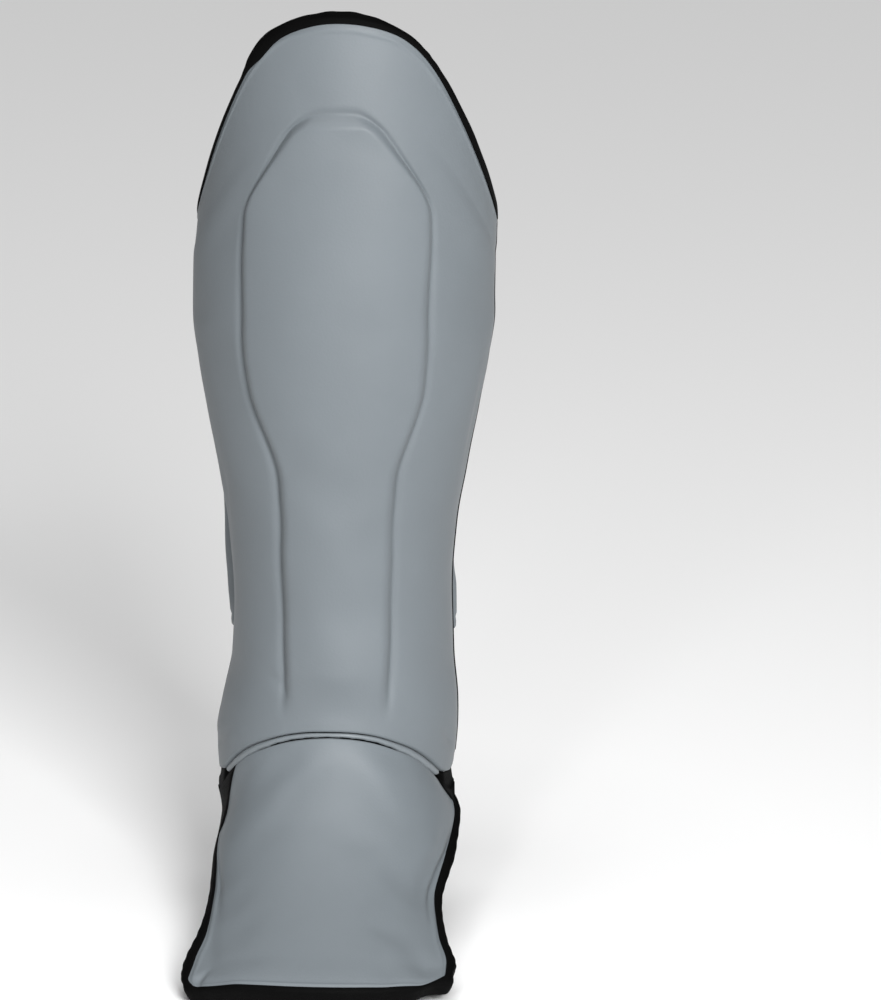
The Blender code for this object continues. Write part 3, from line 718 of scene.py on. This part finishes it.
instepSet = {
    "wrap": 80.0, "reach": 0.133, "fall": 0.0815, "halfWidth": 0.063, "sway": 0.0035,
    "thickness": 0.011, "edgeThickness": 0.008, "toeThickness": 0.0045, "thickShare": 0.3,
    "sideReach": 1.244, "sideFall": 0.567, "topBlend": 0.35, "gap": 0.0003,
    # the right toe corner is cut back, the left one hangs lower, each from a place along and across the pad
    "cornerCut": 0.04, "cornerDrop": 0.0030, "cornerOut": 0.0016,
    "toeFrom": 0.80, "cutFrom": 0.78, "dropFrom": 0.55,
    "unevenness": 0.0003, "lip": 0.25,
    "sideCrowd": (0.05, 1.5), "topCrowd": (0.03, 1), "toeCrowd": (0.04, 1.5),
    "rows": 130, "columns": 111,
    # station, forward, fall, forward at the side, fall at the side, half width, sway, bend, toe thinning
    "sections": [
        (0.00, 0.00, 0.00, 0.00, 0.00, 0.905, -0.6, 88, 0.0),
        (0.15, 0.085, 0.205, 0.12, 0.19, 0.910, 0.2, 84, 0.0),
        (0.30, 0.205, 0.410, 0.29, 0.37, 0.915, 0.0, 78, 0.0),
        (0.50, 0.420, 0.640, 0.53, 0.62, 0.865, -0.5, 68, 0.1),
        (0.70, 0.660, 0.810, 0.75, 0.81, 0.900, -0.1, 58, 0.4),
        (0.85, 0.835, 0.915, 0.885, 0.935, 0.955, 0.1, 50, 0.7),
        (0.95, 0.945, 0.975, 0.965, 0.985, 0.960, 0.0, 46, 0.95),
        (1.00, 1.016, 1.022, 1.016, 1.022, 0.905, -0.1, 45, 1.0),
    ],
    # angle, room left for the piping
    "room": [(0.00, 0.65), (0.45, 0.95), (0.75, 1.50), (0.92, 1.80), (1.00, 2.00)],
}
instepCloth = {
    "pressure": 4.0, "frames": 20, "quality": 5, "mass": 0.3, "stretch": 20.0, "bend": 2.0, "slack": 0.008,
    "cap": 0.0008, "even": 10, "turned": True,
}


def instepTop(angle):
    s = instepSet
    room = 2 * rollSet["radius"] * readRows(s["room"], 1, np.abs(angle) / math.radians(s["wrap"]))
    top = shinAt(angle, archHeight(angle))
    top[..., 2] -= room + 2 * s["gap"]
    return top


def instepAt(v, u):
    s = instepSet
    wrap = math.radians(s["wrap"])
    middle, side = instepTop(np.array(0.0)), instepTop(np.array(wrap))

    def section(u, v):
        def take(column):
            return readRows(s["sections"], column, v)
        bend = np.radians(take(7))
        turn = (1 - np.cos(bend * u)) / (1 - np.cos(bend))
        ahead = (middle[1] - s["reach"] * take(1)) * (1 - turn) \
            + (side[1] - s["reach"] * s["sideReach"] * take(3)) * turn
        height = (middle[2] - s["fall"] * take(2)) * (1 - turn) \
            + (side[2] - s["fall"] * s["sideFall"] * take(4)) * turn
        across = s["sway"] * take(6) + s["halfWidth"] * take(5) * np.sin(bend * u) / np.sin(bend)
        return xyz(across, ahead, height)

    low = ease((v - s["toeFrom"]) / (1 - s["toeFrom"]))
    v = v * (1 - s["cornerCut"] * ease((u - s["cutFrom"]) / (1 - s["cutFrom"])) ** 2 * low)
    drop = ease((-u - s["dropFrom"]) / (1 - s["dropFrom"])) * low
    weight = np.clip(1 - v / s["topBlend"], 0, None)[..., None] ** 2
    face = section(u, v) + weight * (instepTop(u * wrap) - section(u, 0 * v))
    return face - xyz(s["cornerOut"] * drop, 0 * drop, s["cornerDrop"] * drop)


def instepWall(v, u):
    s = instepSet
    thinning = ease((np.abs(u) - s["thickShare"]) / (1 - s["thickShare"]))
    wall = s["thickness"] + (s["edgeThickness"] - s["thickness"]) * thinning
    return wall + (s["toeThickness"] - wall) * readRows(s["sections"], 8, v)


def makeInstepPad():
    s = instepSet
    u = spread([(-1, *s["sideCrowd"]), (1, *s["sideCrowd"])], s["columns"])
    v = spread([(0, *s["topCrowd"]), (1, *s["toeCrowd"])], s["rows"])
    simU, simV = u[::2], np.unique(np.append(v[::2], v[-1]))
    gv, gu = np.meshgrid(simV, simU, indexing="ij")
    face = instepAt(gv, gu)
    held = np.zeros(gv.shape, bool)
    held[0, :] = held[-1, :] = held[:, 0] = held[:, -1] = True
    moved = puff(face, held, instepCloth)

    gv, gu = np.meshgrid(v, u, indexing="ij")
    face = instepAt(gv, gu)
    out = gridNormals(face, turned=True)
    back = face - out * instepWall(gv, gu)[..., None]
    height = s["unevenness"] * waves(gv.shape, seed=9, cells=7)
    height = height - dented(face, gv, gu, instepDents) + ridged(face)
    face = face + out * height[..., None] + onFiner(moved, simV, simU, v, u)
    pad = wallMesh("instepPad", face, back, s["lip"])
    finishPiece(pad, "greyHide", "instep_pad")
    return face, back


instepFace, instepBack = makeInstepPad()


def makeInstepEdging():
    strip = edgingAround("instepEdging", instepFace, instepBack, edgingSet["instep"], smooth=24)
    finishPiece(strip, "blackTrim", "instep_binding")


makeInstepEdging()


# linings and the ankle web: black cloth, 2 mm thick

clothSet = {
    "thickness": 0.002, "clearance": 0.0009,
    "shin": {"low": 0.0468, "high": 0.9957, "rows": 90, "columns": 60, "ripple": 0.0004,
             "flat": (0.200, 0.331)},
    "instep": {"low": 0.14, "high": 0.993, "rows": 50, "columns": 50, "ripple": 0.0003,
               "flat": (0.120, 0.155)},
    "web": {"wrap": 76.0, "lap": 0.016, "slack": 0.001, "leaves": 0.4, "meets": 0.6, "end": 0.12,
            "reach": 0.01, "rows": 26, "columns": 90, "flat": (0.145, 0.046)},
}


def makeLinings():
    s = clothSet
    near, far = s["clearance"], s["clearance"] + s["thickness"]
    part = s["shin"]
    v, u = np.meshgrid(np.linspace(part["low"], part["high"], part["rows"]),
                       np.linspace(-1, 1, part["columns"]), indexing="ij")
    angle = u * math.radians(shinSet["wrap"])
    height = edgeHeight(angle, v)
    soft = part["ripple"] * waves(v.shape, seed=21, cells=16)
    grids = [shinAt(angle, height, shinWall(angle) + inset) for inset in (near, far + soft)]
    lining = finishPiece(wallMesh("shinLining", *grids), "blackLining", "shin_lining")

    part = s["instep"]
    v, u = np.meshgrid(np.linspace(part["low"], part["high"], part["rows"]),
                       np.linspace(-1, 1, part["columns"]), indexing="ij")
    face = instepAt(v, u)
    out = gridNormals(face, turned=True)
    wall = instepWall(v, u)
    soft = part["ripple"] * waves(v.shape, seed=22, cells=10)
    grids = [face - out * (wall + inset)[..., None] for inset in (near, far + soft)]
    lining = finishPiece(wallMesh("instepLining", *grids), "blackLining", "instep_lining")


def makeWeb():
    s, part = clothSet, clothSet["web"]
    angles = np.radians(np.linspace(-part["wrap"], part["wrap"], part["columns"]))
    v = np.linspace(0, 1, part["rows"])
    grids = []
    for inset in (s["clearance"], s["clearance"] + s["thickness"]):
        lines = []
        for at in v:
            if at <= part["leaves"]:
                lap = 1 - at / part["leaves"]
                lines.append(shinAt(angles, archHeight(angles) + part["lap"] * lap,
                                    shinWall(angles) + inset + part["slack"] * (1 - lap)))
            elif at >= part["meets"]:
                lap = (at - part["meets"]) / (1 - part["meets"])
                here = part["end"] * lap
                nearby = np.array([max(0.0, here - part["reach"]), here, here + part["reach"]])
                gv, gu = np.meshgrid(nearby, angles / math.radians(instepSet["wrap"]), indexing="ij")
                face = instepAt(gv, gu)
                out = gridNormals(face, turned=True)[1]
                depth = instepWall(gv, gu)[1] + inset + part["slack"] * (1 - lap)
                lines.append(face[1] - out * depth[:, None])
            else:
                lines.append(None)
        known = [i for i, line in enumerate(lines) if line is not None]
        before = max(i for i in known if v[i] <= part["leaves"])
        after = min(i for i in known if v[i] >= part["meets"])
        for i in range(before + 1, after):
            t = (i - before) / (after - before)
            lines[i] = lines[before] * (1 - t) + lines[after] * t
        grids.append(np.stack(lines))
    web = finishPiece(wallMesh("ankleWeb", *grids), "blackLining", "ankle_gusset")


webFront = {
    "thickness": 0.0012, "lift": 0.0011, "liftStart": 0.6, "drop": 0.0008, "inset": 0.0012,
    "behindPiping": 0.0046, "blend": 0.09, "lip": 0.6, "rows": 26, "columns": 22, "riseRows": 6,
}
# where the web shows in front, at the instep pad's two upper corners: station, how far in and out it reaches
webCorners = {
    "webCornerLeft": {"side": -1, "reach": [
        (0.00, 0.66, 1.10), (0.10, 0.80, 1.02), (0.17, 0.87, 1.00), (0.24, 0.95, 1.00), (0.31, 0.99, 1.00)]},
    "webCornerRight": {"side": 1, "reach": [
        (0.00, 0.78, 1.10), (0.04, 0.90, 1.04), (0.07, 0.96, 1.00), (0.10, 0.995, 1.00)]},
}


# the web's fronts: sewn under the shin pad's lower edge, running down over the instep pad's corner
def makeWebCorners():
    s, count = webFront, webFront["riseRows"]
    for name, part in webCorners.items():
        side, table = part["side"], part["reach"]
        v = np.linspace(0, table[-1][0], s["rows"])
        share = np.linspace(0, 1, s["columns"])[None, :]
        u = side * (readRows(table, 1, v)[:, None] * (1 - share) + readRows(table, 2, v)[:, None] * share)
        gv = np.repeat(v[:, None], share.size, axis=1)
        face = instepAt(gv, u)
        out = gridNormals(face, turned=(side > 0))
        out = out * np.sign((out * xyz(u, 0 * u, 0 * u)).sum(-1).mean())
        angle = u[0] * math.radians(instepSet["wrap"])
        behind = 1 - ease((np.abs(angle) - math.radians(rollSet["wrap"])) / s["blend"])
        seam = shinAt(angle, archHeight(angle) - s["drop"], s["inset"] + s["behindPiping"] * behind)
        rise = [seam * (1 - t) + face[0] * t for t in np.linspace(0, 1, count, endpoint=False)]
        lift = np.concatenate([np.zeros((count, share.size)), np.full(gv.shape, s["lift"])])
        lift[count:count + 2] *= s["liftStart"]
        grid = np.concatenate([np.stack(rise), face])
        away = np.concatenate([np.repeat(out[:1], count, axis=0), out])
        outer = grid + away * lift[..., None]
        patch = wallMesh(name, outer, outer - away * s["thickness"], s["lip"])
        finishPiece(patch, "blackTrim", "ankle_gusset")


makeLinings()
makeWeb()
makeWebCorners()


# straps

strapSet = {
    "thickness": 0.0025, "seat": 0.0038, "ripple": 0.0003,
    "seamPlace": 0.0045, "seamWidth": 0.0008, "seamDepth": 0.0005,
    # bulge beyond the pad: share of the height, on the left, on the right
    "upper": {"base": 0.185, "height": 0.050, "back": 0.060, "rows": 26, "columns": 120,
              "bulge": [(0.0, -0.003, -0.003), (1.0, -0.003, -0.003)]},
    "lower": {"base": 0.033, "height": 0.100, "back": 0.052, "rows": 44, "columns": 120,
              "bulge": [(0.0, 0.0032, 0.0018), (0.09, 0.0044, 0.0023), (0.20, 0.0054, 0.0022),
                        (0.34, 0.0056, 0.0003), (0.57, 0.0042, -0.0016), (0.75, 0.0027, -0.0022),
                        (1.0, -0.0003, -0.0028)]},
    # width, reach, how far the thickness carries each inwards
    "keys": [(1.00, 0.00, 1.0, 0.0), (1.00, 0.16, 1.0, 0.0), (0.94, 0.45, 1.0, 0.0), (0.62, 0.84, 0.8, 0.6)],
    "foot": {"width": 0.040, "place": 0.50, "clearance": 0.0009, "ease": 0.0006, "turn": 0.5,
             "held": (0.70, 0.80, 0.90, 1.00), "drop": 0.010, "corner": 0.008, "cornerShare": 0.93,
             "soleShare": 0.62, "rows": 22, "columns": 150},
}


# a smooth line through key points, keys by xyz
def through(keys, count):
    keys = np.array(keys)
    padded = np.concatenate([[2 * keys[0] - keys[1]], keys, [2 * keys[-1] - keys[-2]]])
    at = np.linspace(0, len(keys) - 1, count)
    i = np.minimum(at.astype(int), len(keys) - 2)
    t = (at - i)[:, None]
    a, b, c, d = (padded[i + k] for k in range(4))
    return 0.5 * (2 * b + (c - a) * t + (2 * a - 5 * b + 4 * c - d) * t**2 + (3 * b - a - 3 * c + d) * t**3)


def strapRow(part, level, inset):
    wrap = math.radians(shinSet["wrap"])

    def half(side):
        edge = shinAt(np.array(side * wrap), np.array(level))
        start = edge[1] + strapSet["seat"]
        share = (level - part["base"]) / part["height"]
        bulge = float(readRows(part["bulge"], 1 if side < 0 else 2, share))
        line = []
        for width, reach, widthInset, reachInset in strapSet["keys"]:
            stand = bulge if reach > 0 else min(bulge, 0.0)
            x = width * side * edge[0] + stand - widthInset * inset
            line.append((side * x, start + reach * (part["back"] - start) - reachInset * inset, level))
        return line

    middle = (0, part["back"] - inset, level)
    return through(half(-1) + [middle] + half(1)[::-1], part["columns"])


def makeCalfStrap(name, part, standsFor):
    levels = part["base"] + part["height"] * np.linspace(0, 1, part["rows"])
    thick = strapSet["thickness"]
    v = np.linspace(0, 1, part["rows"])[:, None] * part["height"]
    fromEdge = np.minimum(v, part["height"] - v)
    seam = strapSet["seamDepth"] * bump((fromEdge - strapSet["seamPlace"]) / strapSet["seamWidth"])
    soft = strapSet["ripple"] * waves((part["rows"], part["columns"]), seed=31, cells=6, across=2)
    grids = []
    for inset, sign in ((0.0, 1), (thick, -1)):
        grid = np.stack([strapRow(part, level, inset) for level in levels])
        out = gridNormals(grid, turned=True)
        out = out * np.sign((out * (grid - grid.mean(axis=(0, 1)))).sum(-1).mean())
        grids.append(grid + out * (soft - sign * seam)[..., None])
    finishPiece(wallMesh(name, *grids), "greyHide", standsFor)


def makeFootStrap():
    part = strapSet["foot"]
    halfShare = part["width"] / 2 / instepSet["reach"]
    lowest = footFloor(part)
    grids = []
    for inset in (0.0, strapSet["thickness"]):
        lines = []
        for v in np.linspace(-1, 1, part["rows"]):
            station = part["place"] + halfShare * v
            depth = clothSet["clearance"] + clothSet["thickness"] + part["ease"] + part["clearance"] + inset
            sides = []
            for side in (-1, 1):
                held = [instepBehind(station, side * u, depth) for u in part["held"]]
                onward = unit(held[-1] - held[-2]) - np.array((part["turn"] * side, 0, 0))
                below = held[-1] + unit(onward) * part["drop"]
                corner = (below[0] * part["cornerShare"], below[1],
                          lowest + part["corner"] + (1 - part["cornerShare"]) * inset)
                sole = (below[0] * part["soleShare"], below[1], lowest + inset)
                sides.append([*held, below, corner, sole])
            middle = (0, (sides[0][-1][1] + sides[1][-1][1]) / 2, lowest + inset)
            lines.append(through(sides[0] + [middle] + sides[1][::-1], part["columns"]))
        grids.append(np.stack(lines))
    finishPiece(wallMesh("footStrap", *grids), "blackElastic", "foot_strap")


def instepBehind(v, u, inset):
    step = 0.01
    gv = np.clip([[v - step] * 3, [v] * 3, [v + step] * 3], 0, 1)
    gu = np.clip([[u - step, u, u + step]] * 3, -1, 1)
    face = instepAt(gv, gu)
    out = gridNormals(face, turned=True)[1, 1]
    return face[1, 1] - out * (instepWall(gv, gu)[1, 1] + inset)


def footFloor(part):
    return min(instepBehind(1.0, u, 0.0)[2] for u in (0.0, 1.0)) - clothSet["thickness"]


makeCalfStrap("calfStrapUpper", strapSet["upper"], "calf_strap_upper")
makeCalfStrap("calfStrapLower", strapSet["lower"], "calf_strap_lower")
makeFootStrap()


# floor and light

stageSet = {
    "floor": (0.86, 0.86, 0.86), "floorRoughness": 0.9, "floorSize": 12.0, "floorGap": 0.0005,
    "world": 0.05, "overhead": 1.9, "overheadSpread": 0.8, "overheadTilt": 12.0, "aim": (0, 0, 0.12),
    # where each soft light stands, its size, its power
    "lights": [
        ((1.00, -2.90, 1.35), 1.0, 142.0),
    ],
    # a soft lamp on the instep: where it stands, where it points, its cone, its power
    "foot": ((-0.45, -2.3, 0.75), (-0.02, -0.13, -0.08), 0.20, 110.0), "footSoftness": 0.25,
}


def addLamp(name, kind, power, spot=(0, 0, 0), target=None):
    data = bpy.data.lights.new(name, kind)
    data.energy = power
    lamp = bpy.data.objects.new(name, data)
    lamp.location = spot
    if target:
        lamp.rotation_mode = "QUATERNION"
        lamp.rotation_quaternion = (Vector(target) - Vector(spot)).to_track_quat("-Z", "Y")
    bpy.context.collection.objects.link(lamp)
    return lamp


def makeStage(low):
    s = stageSet
    paint = bpy.data.materials.new("floorPaint")
    paint.use_nodes = True
    shader = paint.node_tree.nodes["Principled BSDF"]
    shader.inputs["Base Color"].default_value = (*s["floor"], 1)
    shader.inputs["Roughness"].default_value = s["floorRoughness"]
    mesh = bpy.data.meshes.new("floor")
    size = s["floorSize"]
    corners = [(-size, -size, 0), (size, -size, 0), (size, size, 0), (-size, size, 0)]
    mesh.from_pydata(corners, [], [(0, 1, 2, 3)])
    floor = bpy.data.objects.new("floor", mesh)
    floor.location.z = low
    mesh.materials.append(paint)
    bpy.context.collection.objects.link(floor)
    for i, (spot, width, power) in enumerate(s["lights"]):
        lamp = addLamp("softLight%d" % i, "AREA", power, spot, s["aim"])
        lamp.data.size = width
    spot, target, cone, power = s["foot"]
    lamp = addLamp("footLight", "SPOT", power, spot, target)
    lamp.data.spot_size, lamp.data.spot_blend, lamp.data.shadow_soft_size = cone, 1.0, s["footSoftness"]
    lamp = addLamp("overhead", "SUN", s["overhead"])
    lamp.data.angle = s["overheadSpread"]
    lamp.rotation_euler = (math.radians(s["overheadTilt"]), 0, 0)
    world = bpy.data.worlds.new("studio")
    world.use_nodes = True
    world.node_tree.nodes["Background"].inputs["Color"].default_value = (1, 1, 1, 1)
    world.node_tree.nodes["Background"].inputs["Strength"].default_value = s["world"]
    bpy.context.scene.world = world
    bpy.context.scene.view_settings.view_transform = "Standard"


low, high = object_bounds()
makeStage(low[2] - stageSet["floorGap"])
print("size as shown", [round(x, 4) for x in high - low])
